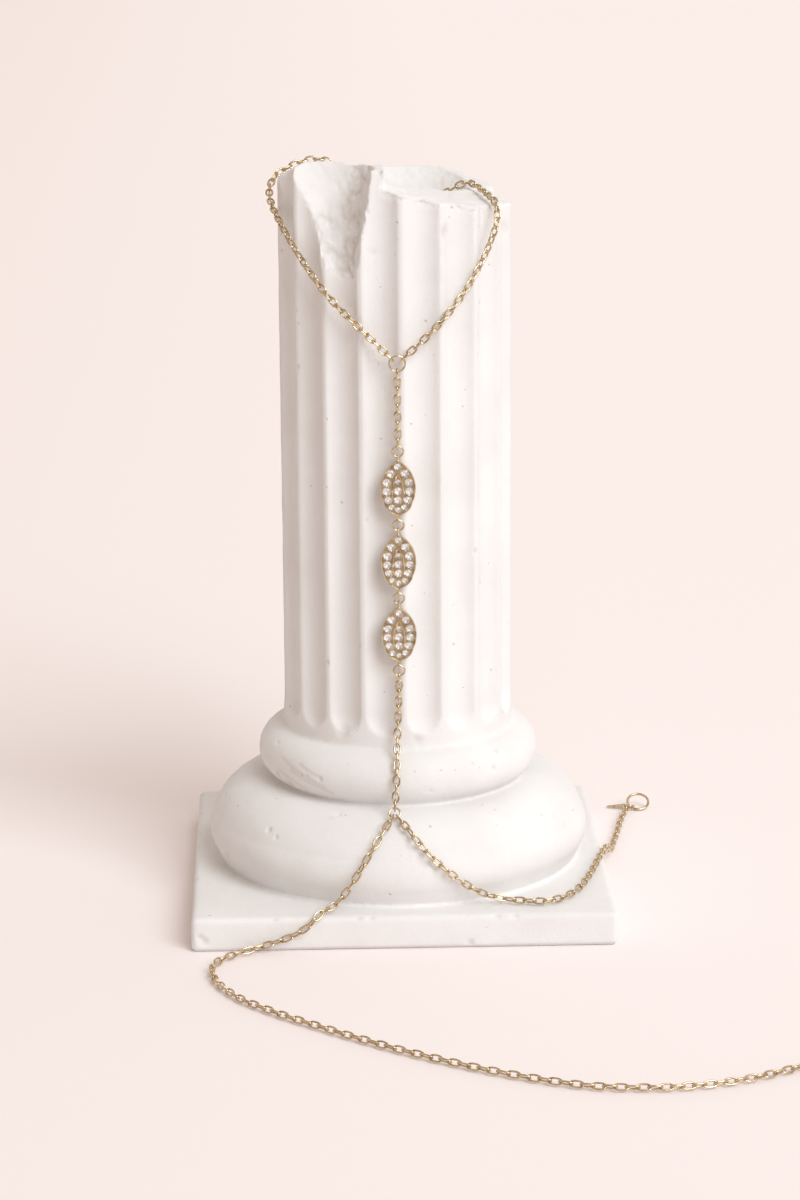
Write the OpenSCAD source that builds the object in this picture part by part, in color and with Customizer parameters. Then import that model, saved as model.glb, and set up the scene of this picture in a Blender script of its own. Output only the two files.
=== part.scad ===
// Hand chain bracelet hung on a small plaster column.
// Millimetres. The origin is the centre of the plinth's underside, +Z is up and the front faces -Y.

/* [Plinth and mouldings] */
// Side of the square plinth
plinth_w = 92; // [86:1:110]
// Height of the plinth
plinth_h = 7.5; // [5:0.5:12]
// Radius of the plinth's rounded top edges and corners
plinth_edge_r = 1.2; // [0.5:0.1:2]
// Outer radius of the large lower moulding
base_ring_r = 42.5; // [38:0.5:43]
// Height of the large lower moulding
base_ring_h = 19; // [17:0.5:21]
// Radius of the lower moulding's undercut round
base_ring_round = 7; // [5:0.5:9]
// Radius of the lower moulding's shoulder
base_shoulder_r = 12; // [9:0.5:12]
// Outer radius of the small upper moulding
collar_r = 31.2; // [29:0.2:34]
// Height of the small upper moulding
collar_h = 12; // [8:0.5:14]

/* [Shaft] */
// Radius of the shaft over its ridges
shaft_r = 25.5; // [23:0.5:27]
// Height of the shaft's highest edge above the floor
shaft_top = 165.2; // [152:0.2:178]
// Number of flutes round the shaft
flute_count = 18; // [14:1:20]
// Width of a flute at the shaft's surface
flute_w = 7.6; // [5:0.1:7.8]
// Depth of a flute
flute_depth = 1.9; // [1:0.1:2.6]
// Turn of the first flute from the front
flute_turn = 8.4; // [0:0.1:20]
// Height of the plain foot below the flutes
flute_foot = 2; // [1:0.5:5]

/* [Broken top] */
// Fall of the broken top's left part towards the back, in degrees
top_fall_back = 10; // [8:0.1:12]
// Fall of the top's left edge, in degrees
top_fall_left = 27; // [20:0.5:32]
// Fall of the broken top's right part towards the right, in degrees
top_fall_right = 14.5; // [10:0.5:17]
// Rise of the broken top's right part towards the back, in degrees
top_rise_back = 3.4; // [0:0.1:4]
// Distance left of the axis where the right part's fall begins
top_break_x = 3; // [1:0.5:5]
// Radius of the round hollow in the broken top
hollow_r = 22; // [20:0.5:24]
// Depth of the hollow below the highest edge
hollow_depth = 12.5; // [10:0.1:13]
// Radius of the large chip in the front at its upper end
chip_r = 10; // [7:0.5:11]
// Height of the large chip, down from the highest edge
chip_h = 25; // [18:0.5:30]
// Distance of the large chip's foot left of the axis
chip_x = 12; // [10:0.5:14]

/* [Chain] */
// Thickness of a link's wire
wire_d = 0.42; // [0.36:0.02:0.46]
// Outer length of a link in the two free strands
link_l = 3.2; // [3:0.05:3.5]
// Outer length of a link in the wrist loop and the hanging drop
fine_link_l = 2.85; // [2.75:0.05:3.1]
// Outer width of a link
link_w = 1.75; // [1.7:0.05:2]
// Free play between two links that hold each other
link_gap = 0.15; // [0.12:0.01:0.2]

/* [Rings] */
// Outer diameter of the round ring at the top of the drop
top_ring_d = 3.8; // [3.4:0.1:5]
// Outer diameter of the plaques' jump rings
jump_ring_d = 2.8; // [2.6:0.1:3.4]
// Outer diameter of the ring at the fork
fork_ring_d = 2.8; // [2.6:0.1:3.4]
// Outer diameter of the large ring on the right strand's end
end_ring_d = 5.6; // [4.5:0.1:7]
// Wire thickness of the small rings
ring_wire_d = 0.42; // [0.36:0.02:0.5]
// Wire thickness of the large end ring
end_ring_wire_d = 0.6; // [0.5:0.05:0.8]

/* [Plaques] */
// Height of a plaque from tip to tip
plaque_h = 12.2; // [11:0.1:13]
// Width of a plaque
plaque_w = 7.6; // [7.2:0.1:8.6]
// Thickness of a plaque's plate
plaque_t = 1.3; // [1.1:0.1:1.6]
// Radius of the fuller lower half of the leaf
plaque_belly_r = 3.1; // [2.8:0.1:3.2]
// Width of the raised rim round the stones
rim_w = 0.28; // [0.2:0.02:0.34]
// Depth of the field inside the rim
field_depth = 0.3; // [0.2:0.05:0.5]
// Width of the raised arch between the stones
arch_w = 0.34; // [0.25:0.01:0.4]
// Diameter of a stone
stone_d = 1.44; // [1.2:0.02:1.46]
// Play between a stone and its seat
stone_gap = 0.04; // [0.03:0.01:0.06]

/* [End tag and clasp] */
// Length of the plain tag from its hole to its tip
tag_l = 4.2; // [3:0.1:6]
// Width of the tag at its round end
tag_w = 1.3; // [1.2:0.05:1.5]
// Thickness of the tag
tag_t = 0.4; // [0.3:0.05:0.5]
// Length of the clasp's body
clasp_l = 9; // [8:0.5:11]
// Width of the clasp's body
clasp_w = 4.6; // [4:0.1:5.5]
// Thickness of the clasp's bow
clasp_bow_d = 1.3; // [1:0.1:1.6]

/* [Hidden] */
plaster = [0.96, 0.95, 0.93];
gold = [0.83, 0.69, 0.46];
crystal = [0.93, 0.95, 0.98];
fine = 24;
smooth = 96;

// Heights of the stand's parts, each standing on the one below.
base_top = plinth_h + base_ring_h;
collar_top = base_top + collar_h;
collar_round = collar_h / 2;
flute_low = collar_top + flute_foot;

// The flute's cutter is a round bar that leaves the wanted width and depth in the shaft.
flute_rim_x = sqrt(pow(shaft_r, 2) - pow(flute_w / 2, 2));
flute_sink = flute_rim_x - (shaft_r - flute_depth);
flute_cut_r = (pow(flute_w / 2, 2) + pow(flute_sink, 2)) / (2 * flute_sink);
flute_axis_r = shaft_r - flute_depth + flute_cut_r;

// The drop hangs in one upright plane, just clear of the shaft's ridges.
hang_clear = 0.45;
hang_y = -(shaft_r + hang_clear + plaque_t / 2);
hang_x = -0.3;

// A joint is the middle of the place where two wires hold each other.
joint_sep = wire_d + link_gap;
link_pitch = link_l - wire_d - joint_sep;
fine_pitch = fine_link_l - wire_d - joint_sep;
ring_gap = link_gap + 0.04;
ring_joint_in = ((wire_d + ring_wire_d) / 2 + ring_gap) / 2;
link_bend_r = (link_w - wire_d) / 2;

// Each plaque carries a loop at both tips that a jump ring passes through.
jump_ring_r = (jump_ring_d - ring_wire_d) / 2;
loop_wire_d = 0.38;
loop_gap = 0.13;
loop_inner_r = ring_wire_d / 2 + loop_gap;
loop_r = loop_inner_r + loop_wire_d / 2;
loop_out = loop_r + loop_wire_d / 2 + 0.08;
plaque_pitch = plaque_h + 2 * loop_out + 2 * jump_ring_r;

// Heights in the drop, counted down from the ring at its top.
top_ring_z = 124.5;
top_ring_r = (top_ring_d - ring_wire_d) / 2;
upper_links = 9;
upper_drop_l = upper_links * fine_pitch;
jump_1_z = top_ring_z - top_ring_r - upper_drop_l - jump_ring_r + 2 * ring_joint_in;
plaque_1_z = jump_1_z - jump_ring_r - loop_out - plaque_h / 2;
function plaque_z(k) = plaque_1_z - (k - 1) * plaque_pitch;
function jump_z(k) = jump_1_z - (k - 1) * plaque_pitch;
jump_4_z = jump_z(4);

// The fork's ring leans back against the mouldings.
fork_at = [-1.7, -34.9, 27.2];
fork_tilt = 37;
fork_ring_r = (fork_ring_d - ring_wire_d) / 2;

// The right strand ends in a large ring that leans on the floor, with a small ring between.
floor_gap = 0.05;
end_ring_c = (end_ring_d - end_ring_wire_d) / 2;
end_ring_lean = 30;
end_ring_tilt = 90 - end_ring_lean;
end_ring_at = [59.2, 50.2, floor_gap + end_ring_wire_d / 2 + end_ring_c * sin(end_ring_lean)];
function on_ring(at, r, tilt, turn) = at + r * [cos(turn), sin(turn) * sin(tilt), sin(turn) * cos(tilt)];

// The small ring lies round the large one's wire, a little to the left of its middle.
joining_tilt = 114;
joining_offset = 0.13;
hook_turn = 213;
joining_at = on_ring(end_ring_at, end_ring_c, end_ring_tilt, hook_turn) - [joining_offset, 0, 0];

// The tag hangs on the small ring's left side and leans on the floor by its edge.
tag_turn = 165;
tag_dip = 5;

// The left strand's clasp lies flat, with its ring held between the last link and the eye.
clasp_ring_at = [96.2, -105.2, 1];
clasp_turn = 36;

// Chosen points of each strand, from joint to joint. The first and last come from the rings.
wrist_route = [
    [-6.2, -26.0, 130.2], [-10.3, -24.7, 134.0], [-15.2, -22.0, 138.9], [-19.6, -18.1, 144.6],
    [-22.8, -13.8, 149.3], [-25.0, -9.2, 152.8], [-26.5, -3.4, 155.3], [-27.0, 1.0, 157.2],
    [-26.6, 4.3, 158.9], [-25.3, 6.2, 160.5], [-23.0, 7.4, 161.7], [-20.0, 8.2, 162.9],
    [-17.2, 8.5, 163.4], [-14.8, 8.3, 163.2], [-12.4, 7.8, 161.8], [-10.0, 7.1, 159.0],
    [-6.0, 5.8, 155.8], [0.0, 4.8, 154.0], [6.0, 4.2, 154.2], [10.6, 3.8, 155.9],
    [13.8, 3.0, 157.9], [16.2, 1.4, 158.9], [18.0, -1.8, 158.5], [19.2, -6.0, 158.0],
    [20.1, -10.4, 157.7], [20.9, -13.4, 157.3], [21.5, -15.6, 155.9], [21.5, -16.9, 153.4],
    [20.7, -17.8, 150.8], [19.4, -18.6, 147.6], [17.4, -20.1, 143.9], [14.5, -22.3, 139.4],
    [10.0, -24.6, 134.0], [5.4, -26.0, 129.5]
];
lower_route = [
    [-0.6, -26.7, 48.0], [-0.8, -27.3, 43.0], [-1.0, -30.0, 38.2], [-1.2, -32.2, 34.6],
    [-1.4, -33.0, 31.6]
];
right_route = [
    [1.6, -39.6, 24.2], [5.0, -42.0, 20.5], [9.9, -42.9, 16.0], [15.6, -41.0, 11.4],
    [20.6, -39.2, 9.0], [25.6, -40.0, 8.6], [30.5, -40.6, 8.6], [34.6, -38.4, 8.6],
    [38.0, -33.5, 8.6], [40.5, -26.9, 8.6], [42.8, -19.0, 8.6], [45.2, -9.6, 8.6],
    [47.2, -1.4, 7.6], [48.4, 6.0, 4.6], [49.4, 13.0, 2.0], [50.6, 20.6, 1.05],
    [52.4, 29.4, 1.05], [54.1, 38.6, 1.05]
];
left_route = [
    [-3.9, -38.6, 25.0], [-6.2, -40.9, 21.8], [-8.6, -42.4, 18.4], [-11.0, -43.0, 14.4],
    [-13.4, -42.6, 10.8], [-15.7, -43.4, 8.9], [-17.7, -45.6, 8.8], [-19.5, -47.1, 7.4],
    [-21.5, -47.3, 5.4],
    [-25.6, -47.2, 3.3], [-31.0, -47.6, 1.7], [-36.0, -49.6, 1.05], [-39.4, -53.0, 1.05],
    [-41.2, -57.2, 1.05], [-41.2, -62.0, 1.05], [-39.6, -68.4, 1.05], [-35.4, -76.5, 1.05],
    [-30.6, -82.2, 1.05], [-25.2, -87.8, 1.05], [-19.2, -93.2, 1.05], [-12.2, -99.4, 1.05],
    [0.1, -109.2, 1.05], [15.8, -119.5, 1.05], [31.6, -127.0, 1.05], [44.0, -129.0, 1.05],
    [54.0, -128.4, 1.05], [64.5, -125.4, 1.05], [75.0, -119.9, 1.05], [85.0, -113.4, 1.05]
];

// Smooth curve through the chosen points, sampled finely.
span_steps = 8;
function blend(a, b, c, d, t) =
    0.5 * (2 * b + (c - a) * t + (2 * a - 5 * b + 4 * c - d) * t * t
        + (3 * b - a - 3 * c + d) * t * t * t);
function pick(p, i) = p[max(0, min(len(p) - 1, i))];
function curve(p) = concat(
    [for (i = [0 : len(p) - 2], k = [0 : span_steps - 1])
        blend(pick(p, i - 1), p[i], p[i + 1], pick(p, i + 2), k / span_steps)],
    [p[len(p) - 1]]
);
function run_lengths(q) = [
    for (i = 0, s = 0; i < len(q); s = s + norm(pick(q, i + 1) - q[i]), i = i + 1) s
];
function axis_table(q, s, k) = [for (i = [0 : len(q) - 1]) [s[i], q[i][k]]];

// Points along a stretch of a curve that divide it into equal parts.
function stretch(q, from, to, n) =
    let (
        s = run_lengths(q),
        tx = axis_table(q, s, 0),
        ty = axis_table(q, s, 1),
        tz = axis_table(q, s, 2)
    )
    [for (k = [0 : n])
        let (d = from + (to - from) * k / n) [lookup(d, tx), lookup(d, ty), lookup(d, tz)]];
function curve_length(q) = let (s = run_lengths(q)) s[len(s) - 1];
function divide(q, n) = stretch(q, 0, curve_length(q), n);

// A run between two rings has an odd number of links, so that both its end links cross their rings.
function odd_up(v) = 2 * ceil((v - 1) / 2) + 1;
function link_joints(route, pitch) =
    let (q = curve(route)) divide(q, odd_up(curve_length(q) / pitch));

// The way that faces out from what a strand lies on: up on flat ground, sideways on the shaft.
function ramp(a, b, v) = max(0, min(1, (v - a) / (b - a)));
function unit(v) = v / norm(v);
function facing(p) =
    let (
        out = norm([p.x, p.y]),
        within = p.z > collar_top ? ramp(shaft_r + 1.5, shaft_r - 4, out) : 0,
        low = 1 - ramp(plinth_h + 3, collar_top, p.z),
        up = max(low, within),
        side = ramp(plinth_h + 2, plinth_h + 10, p.z) * (1 - within) / max(1, out)
    )
    unit([p.x * side, p.y * side, up + 0.001]);

// Frame of a link from joint a to joint b, rolled about its length.
function link_frame(a, b, roll) =
    let (
        t = unit(b - a),
        h = facing((a + b) / 2),
        n = unit(h - (h * t) * t),
        s = cross(n, t),
        w = cos(roll) * s + sin(roll) * n,
        f = cross(t, w),
        m = (a + b) / 2
    )
    [[t.x, w.x, f.x, m.x], [t.y, w.y, f.y, m.y], [t.z, w.z, f.z, m.z], [0, 0, 0, 1]];

// Where a link holds a ring: a point just inside the ring's wire, at an angle in its plane.
function ring_joint(at, r, tilt, turn) = on_ring(at, r - ring_joint_in, tilt, turn);
top_ring_at = [hang_x, hang_y, top_ring_z];
jump_1_at = [hang_x, hang_y, jump_1_z];
jump_4_at = [hang_x, hang_y, jump_4_z];

wrist_joints = link_joints(concat(
    [ring_joint(top_ring_at, top_ring_r, 0, 140)],
    wrist_route,
    [ring_joint(top_ring_at, top_ring_r, 0, 42)]
), fine_pitch);
wrist_half = floor((len(wrist_joints) - 1) / 2);
upper_joints = divide([
    ring_joint(top_ring_at, top_ring_r, 0, 268),
    ring_joint(jump_1_at, jump_ring_r, 0, 90)
], upper_links);
lower_joints = link_joints(concat(
    [ring_joint(jump_4_at, jump_ring_r, 0, 270)],
    lower_route,
    [ring_joint(fork_at, fork_ring_r, fork_tilt, 88)]
), fine_pitch);
right_joints = link_joints(concat(
    [ring_joint(fork_at, fork_ring_r, fork_tilt, 305)],
    right_route,
    [ring_joint(joining_at, jump_ring_r, joining_tilt, 255)]
), link_pitch);
right_half = floor((len(right_joints) - 1) / 2);
left_curve = curve(concat(
    [ring_joint(fork_at, fork_ring_r, fork_tilt, 235)],
    left_route,
    [ring_joint(clasp_ring_at, jump_ring_r, 90, 180 + clasp_turn)]
));

// One closed cable link of an outer length, along X, with its width along Y.
module link(length) {
    link_straight = length - link_w;
    for (turn = [0, 180])
        rotate([0, 0, turn]) {
            translate([link_straight / 2, 0, 0])
                rotate([0, 0, -90])
                    rotate_extrude(angle = 180, $fn = fine)
                        translate([link_bend_r, 0])
                            circle(d = wire_d, $fn = fine);
            translate([-link_straight / 2, link_bend_r, 0])
                rotate([0, 90, 0])
                    cylinder(d = wire_d, h = link_straight, $fn = fine);
        }
}

// Links from one joint to the next, each a quarter turn from the last. The end links stand across
// their rings, and a few links further on the strand lies at its own roll.
ease_links = 5;
floor_roll = 45;
function link_roll(k, count, lay) =
    lay + (90 - lay) * max(0, 1 - min(k, count - 1 - k) / ease_links) + 90 * (k % 2);
module chain_run(joints, first, last, lay, length) {
    color(gold)
        for (k = [first : last])
            multmatrix(link_frame(joints[k], joints[k + 1], link_roll(k, len(joints) - 1, lay)))
                link(length);
}

// Closed ring of round wire, in the plane of X and the tilted upright.
module wire_ring(at, r, d, tilt) {
    color(gold)
        translate(at)
            rotate([90 - tilt, 0, 0])
                rotate_extrude($fn = smooth)
                    translate([r, 0])
                        circle(d = d, $fn = fine);
}

// Square block with rounded upright corners and top edges.
module plinth() {
    c = plinth_w / 2 - plinth_edge_r;
    e = plinth_h - plinth_edge_r;
    translate([-plinth_w / 2, -c, 0]) cube([plinth_w, 2 * c, e]);
    translate([-c, -plinth_w / 2, 0]) cube([2 * c, plinth_w, e]);
    translate([-c, -c, 0]) cube([2 * c, 2 * c, plinth_h]);
    for (turn = [0 : 90 : 270])
        rotate([0, 0, turn]) {
            translate([c, c, 0]) cylinder(r = plinth_edge_r, h = e, $fn = fine);
            translate([c, c, e]) sphere(r = plinth_edge_r, $fn = fine);
            translate([c, -c, e])
                rotate([-90, 0, 0])
                    cylinder(r = plinth_edge_r, h = 2 * c, $fn = fine);
        }
}

// Outline of the mouldings and the shaft, turned about the column's axis.
module turned_outline() {
    shoulder_c = base_top - base_shoulder_r;
    round_c = plinth_h + base_ring_round;
    sink = 1;
    translate([base_ring_r - base_ring_round, round_c]) circle(r = base_ring_round, $fn = smooth);
    intersection() {
        translate([base_ring_r - base_shoulder_r - 0.5, shoulder_c])
            circle(r = base_shoulder_r, $fn = smooth);
        translate([0, plinth_h]) square([base_ring_r, base_ring_h]);
    }
    translate([0, plinth_h - sink])
        square([base_ring_r - base_ring_round, base_ring_h - base_shoulder_r + sink]);
    square([base_ring_r - base_shoulder_r - 0.5, base_top]);
    translate([collar_r - collar_round, base_top + collar_round])
        circle(r = collar_round, $fn = smooth);
    translate([0, base_top - sink]) square([collar_r - collar_round, collar_h + sink]);
    square([shaft_r, shaft_top]);
}

// The body that a break takes off the shaft's top: three sloping falls and a round hollow.
break_reach = 60;
break_rise = 2.6;
module slope_cut(at, turns, from_x) {
    translate(at)
        rotate(turns)
            translate([from_x, -break_reach, 0])
                cube([break_reach - from_x, 2 * break_reach, break_reach]);
}
module broken_off() {
    crest_y = -0.35 * shaft_r;
    slope_cut([0, crest_y, shaft_top], [-top_fall_back, 0, 0], -break_reach);
    slope_cut([-0.75 * shaft_r, 0, shaft_top - 1.7], [-top_fall_back, -top_fall_left, 0], -break_reach);
    slope_cut([-top_break_x, 0, shaft_top - break_rise], [top_rise_back, top_fall_right, 0], 0);
    translate([2.5, 5, shaft_top - hollow_depth + hollow_r]) sphere(r = hollow_r, $fn = smooth);
}

// The large chip in the front left and a small one in the rim's right.
module chips() {
    lean_back = 10;
    lean_left = 6;
    foot_r = 2.5;
    beyond = 1.25;
    translate([-chip_x, -shaft_r + 1.1, shaft_top - chip_h])
        rotate([-lean_back, -lean_left, 0])
            cylinder(
                r1 = foot_r,
                r2 = foot_r + (chip_r - foot_r) * beyond,
                h = chip_h * beyond,
                $fn = smooth
            );
    translate([shaft_r, 6, shaft_top - 7.5]) sphere(r = 4.6, $fn = fine);
}

// Upright round-ended grooves round the shaft.
module flutes() {
    for (k = [0 : flute_count - 1])
        rotate([0, 0, -90 - flute_turn + 360 * k / flute_count])
            translate([flute_axis_r, 0, flute_low + flute_cut_r]) {
                cylinder(r = flute_cut_r, h = shaft_top, $fn = smooth);
                sphere(r = flute_cut_r, $fn = smooth);
            }
}

module column_stand() {
    color(plaster) {
        plinth();
        difference() {
            difference() {
                difference() {
                    rotate_extrude($fn = smooth) turned_outline();
                    flutes();
                }
                broken_off();
            }
            chips();
        }
    }
}

// Leaf outline: two crossing arcs with a fuller lower half, drawn in by an inset.
leaf_r = (pow(plaque_h, 2) + pow(plaque_w, 2)) / (4 * plaque_w);
belly_drop = plaque_h / 2 - plaque_belly_r - 0.4;
module leaf(inset) {
    intersection() {
        translate([leaf_r - plaque_w / 2, 0]) circle(r = leaf_r - inset, $fn = smooth);
        translate([plaque_w / 2 - leaf_r, 0]) circle(r = leaf_r - inset, $fn = smooth);
    }
    translate([0, -belly_drop]) circle(r = plaque_belly_r - inset, $fn = smooth);
}

// Places of the stones in a plaque, as shares of its half width and half height.
stone_places = [
    // across, up
    [0, 0.80], [0.42, 0.53], [0.65, 0.22], [0.68, -0.11], [0.57, -0.42], [0.39, -0.65],
    [0, -0.76], [-0.39, -0.65], [-0.57, -0.42], [-0.68, -0.11], [-0.65, 0.22], [-0.42, 0.53],
    [0, 0.22], [0, -0.10], [0, -0.42]
];
function stone_at(s) = [s[0] * plaque_w / 2, s[1] * plaque_h / 2];

// The pointed arch is one half of a slim leaf ring, open below.
arch_top = 0.58 * plaque_h / 2;
arch_half_w = 0.38 * plaque_w / 2;
arch_foot = 0.40 * plaque_h / 2;
arch_reach = arch_top + 0.16 * plaque_h / 2;
arch_r = (pow(arch_reach, 2) + pow(arch_half_w, 2)) / (2 * arch_half_w);
module arch_leaf(inset) {
    intersection() {
        translate([arch_r - arch_half_w, 0]) circle(r = arch_r - inset, $fn = smooth);
        translate([arch_half_w - arch_r, 0]) circle(r = arch_r - inset, $fn = smooth);
    }
}
module arch() {
    low = arch_top - arch_reach;
    intersection() {
        translate([0, low])
            difference() {
                arch_leaf(0);
                arch_leaf(arch_w);
            }
        translate([-plaque_w / 2, -arch_foot]) square([plaque_w, arch_foot + arch_top]);
    }
}

// Loop across a plaque's tip, with the short stem that it is soldered on by.
module tip_loop(up) {
    stem = 0.75;
    translate([0, up * (plaque_h / 2 + loop_out), 0])
        rotate([0, 90, 0])
            rotate_extrude($fn = smooth)
                translate([loop_r, 0])
                    circle(d = loop_wire_d, $fn = fine);
    translate([0, up * (plaque_h / 2 + loop_out - loop_r), 0])
        rotate([up * 90, 0, 0])
            cylinder(d = loop_wire_d + 0.06, h = stem, $fn = fine);
}

// Plate with its field, seats and arch. Its front is drawn towards +Z, then turned to the front.
module plaque(k) {
    seat_depth = 0.75;
    field_z = plaque_t / 2 - field_depth;
    color(gold)
        translate([hang_x, hang_y, plaque_z(k)])
            rotate([90, 0, 0]) {
                difference() {
                    translate([0, 0, -plaque_t / 2]) linear_extrude(plaque_t) leaf(0);
                    translate([0, 0, field_z]) linear_extrude(plaque_t) leaf(rim_w);
                    for (s = stone_places)
                        translate([stone_at(s)[0], stone_at(s)[1], field_z - seat_depth])
                            cylinder(
                                r1 = stone_d * 0.16 + stone_gap,
                                r2 = stone_d / 2 + stone_gap,
                                h = seat_depth + 0.001,
                                $fn = fine
                            );
                }
                translate([0, 0, field_z - 0.05]) linear_extrude(field_depth + 0.1) arch();
                tip_loop(1);
                tip_loop(-1);
            }
}

// Round cut stone: a table, eight crown facets, a girdle and eight pavilion facets.
stone_sides = 8;
function stone_ring(r, z) = [
    for (i = [0 : stone_sides - 1])
        let (a = 360 * (i + 0.5) / stone_sides) [r * cos(a), r * sin(a), z]
];
module stone() {
    girdle = 0.06;
    crown = 0.16 * stone_d;
    depth = 0.40 * stone_d;
    table_r = 0.56 * stone_d / 2;
    n = stone_sides;
    polyhedron(
        points = concat(
            stone_ring(table_r, girdle + crown),
            stone_ring(stone_d / 2, girdle),
            stone_ring(stone_d / 2, 0),
            [[0, 0, -depth]]
        ),
        faces = concat(
            [[for (i = [n - 1 : -1 : 0]) i]],
            [for (i = [0 : n - 1]) [i, (i + 1) % n, n + (i + 1) % n, n + i]],
            [for (i = [0 : n - 1]) [n + i, n + (i + 1) % n, 2 * n + (i + 1) % n, 2 * n + i]],
            [for (i = [0 : n - 1]) [2 * n + i, 2 * n + (i + 1) % n, 3 * n]]
        )
    );
}
module stones(k) {
    color(crystal)
        translate([hang_x, hang_y, plaque_z(k)])
            rotate([90, 0, 0])
                for (s = stone_places)
                    translate([stone_at(s)[0], stone_at(s)[1], plaque_t / 2 - field_depth])
                        stone();
}

// Frame of the tag: its plate stands across the small ring's wire and dips a little to its tip.
function tag_frame() =
    let (
        p = on_ring(joining_at, jump_ring_r, joining_tilt, tag_turn),
        wire = on_ring([0, 0, 0], 1, joining_tilt, tag_turn + 90),
        level = unit([wire.y, -wire.x, 0]),
        down = unit(cross(wire, level)),
        low = down.z < 0 ? down : -down,
        t = cos(tag_dip) * level + sin(tag_dip) * low,
        w = cross(wire, t)
    )
    [[t.x, w.x, wire.x, p.x], [t.y, w.y, wire.y, p.y], [t.z, w.z, wire.z, p.z], [0, 0, 0, 1]];

// Slim tapered tag with a round end and a hole.
module end_tag() {
    hole_r = ring_wire_d / 2 + 0.15;
    tip_w = 0.4;
    color(gold)
        multmatrix(tag_frame())
            difference() {
                union() {
                    translate([0, 0, -tag_t / 2]) cylinder(d = tag_w, h = tag_t, $fn = smooth);
                    translate([0, 0, -tag_t / 2])
                        linear_extrude(tag_t)
                            polygon([
                                [0.1, tag_w / 2 - 0.05], [tag_l, tip_w / 2],
                                [tag_l, -tip_w / 2], [0.1, 0.05 - tag_w / 2]
                            ]);
                }
                translate([0, 0, -tag_t]) cylinder(r = hole_r, h = 2 * tag_t, $fn = fine);
            }
}

// Swept tube of the long floor strand, with eight sides, from just outside one ring to the other.
tube_sides = 8;
tube_d = 1.6;
tube_step = 3.8;
tube_clear = 0.15;
tube_start = ring_joint_in + ring_wire_d / 2 + tube_clear;
function tube_ring(a, b, at) =
    let (
        t = unit(b - a),
        h = facing(at),
        n = unit(h - (h * t) * t),
        s = cross(n, t)
    )
    [for (i = [0 : tube_sides - 1])
        let (v = 360 * (i + 0.5) / tube_sides)
            at + tube_d / 2 * (cos(v) * s + sin(v) * n)];
module left_chain() {
    total = curve_length(left_curve);
    p = stretch(left_curve, tube_start, total - tube_start, ceil(total / tube_step));
    m = len(p);
    n = tube_sides;
    color(gold)
        polyhedron(
            points = [for (k = [0 : m - 1])
                each tube_ring(p[max(0, k - 1)], p[min(m - 1, k + 1)], p[k])],
            faces = concat(
                [[for (i = [0 : n - 1]) i]],
                [for (k = [0 : m - 2], i = [0 : n - 1])
                    [k * n + i, (k + 1) * n + i, (k + 1) * n + (i + 1) % n, k * n + (i + 1) % n]],
                [[for (i = [n - 1 : -1 : 0]) (m - 1) * n + i]]
            )
        );
}

// Closed trigger clasp as one plain piece: a bow, a neck and the eye that its ring passes through.
module clasp() {
    bow_r = (clasp_w - clasp_bow_d) / 2;
    eye_wire = 0.6;
    eye_r = ring_wire_d / 2 + 0.24 + eye_wire / 2;
    eye_z = floor_gap + eye_r + eye_wire / 2;
    bow_x = clasp_l - clasp_w / 2;
    dip = asin((eye_z - floor_gap - clasp_bow_d / 2) / (clasp_l - clasp_bow_d / 2));
    color(gold)
        translate([clasp_ring_at.x, clasp_ring_at.y, eye_z])
            rotate([0, 0, clasp_turn])
                translate([jump_ring_r, 0, 0])
                    rotate([0, dip, 0]) {
                        translate([bow_x, 0, 0])
                            rotate_extrude($fn = smooth)
                                translate([bow_r, 0])
                                    circle(d = clasp_bow_d, $fn = fine);
                        translate([eye_r, 0, 0])
                            rotate([0, 90, 0])
                                cylinder(
                                    d1 = eye_wire * 1.3,
                                    d2 = clasp_bow_d * 1.1,
                                    h = bow_x - bow_r - eye_r,
                                    $fn = fine
                                );
                        rotate([90, 0, 0])
                            rotate_extrude($fn = smooth)
                                translate([eye_r, 0])
                                    circle(d = eye_wire, $fn = fine);
                    }
}

column_stand();
chain_run(wrist_joints, 0, wrist_half - 1, 90, fine_link_l);  // wrist_chain_left
chain_run(wrist_joints, wrist_half, len(wrist_joints) - 2, 90, fine_link_l);  // wrist_chain_right
wire_ring(top_ring_at, top_ring_r, ring_wire_d, 0);  // top_ring
chain_run(upper_joints, 0, upper_links - 1, 90, fine_link_l);  // upper_drop_chain
wire_ring(jump_1_at, jump_ring_r, ring_wire_d, 0);  // jump_ring_1
wire_ring([hang_x, hang_y, jump_z(2)], jump_ring_r, ring_wire_d, 0);  // jump_ring_2
wire_ring([hang_x, hang_y, jump_z(3)], jump_ring_r, ring_wire_d, 0);  // jump_ring_3
wire_ring(jump_4_at, jump_ring_r, ring_wire_d, 0);  // jump_ring_4
plaque(1);  // plaque_1
plaque(2);  // plaque_2
plaque(3);  // plaque_3
stones(1);  // stones_1
stones(2);  // stones_2
stones(3);  // stones_3
chain_run(lower_joints, 0, len(lower_joints) - 2, 90, fine_link_l);  // lower_drop_chain
wire_ring(fork_at, fork_ring_r, ring_wire_d, fork_tilt);  // fork_ring
chain_run(right_joints, 0, right_half - 1, floor_roll, link_l);  // right_chain_upper
chain_run(right_joints, right_half, len(right_joints) - 2, floor_roll, link_l);  // right_chain_lower
wire_ring(joining_at, jump_ring_r, ring_wire_d, joining_tilt);  // joining_ring
wire_ring(end_ring_at, end_ring_c, end_ring_wire_d, end_ring_tilt);  // end_ring
end_tag();
left_chain();
wire_ring(clasp_ring_at, jump_ring_r, ring_wire_d, 90);  // clasp_ring
clasp();
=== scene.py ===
"""Hand chain bracelet draped over a small broken plaster column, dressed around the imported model."""
import math
import random

import bmesh
import bpy
import numpy as np
from mathutils import Matrix, Vector, kdtree, noise


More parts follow.
